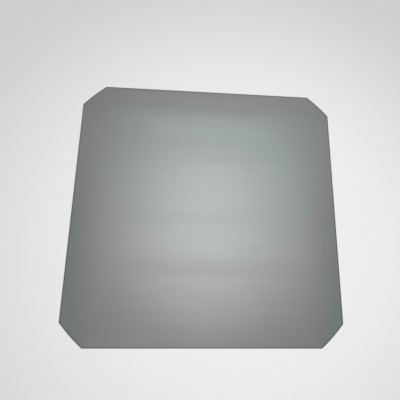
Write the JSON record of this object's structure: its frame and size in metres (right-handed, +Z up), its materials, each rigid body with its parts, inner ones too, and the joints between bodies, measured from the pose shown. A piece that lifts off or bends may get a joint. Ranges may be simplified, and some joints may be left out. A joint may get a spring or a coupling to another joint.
{
  "type": "silicon wafer",
  "caption": "Thin pseudo-square silicon wafer with straight sides and arc-cut corners, satin grey as sawn, lying flat.",
  "frame": {"origin": "centre of the lower sawn face", "axes": "+Z up, out of the upper sawn face; X and Y square to the ground flats, with X along the saw marks"},
  "size_m": [0.156, 0.156, 0.0002],
  "materials": {
    "silicon": "satin"
  },
  "bodies": {
    "root": {"wafer": "silicon"}
  },
  "joints": []
}
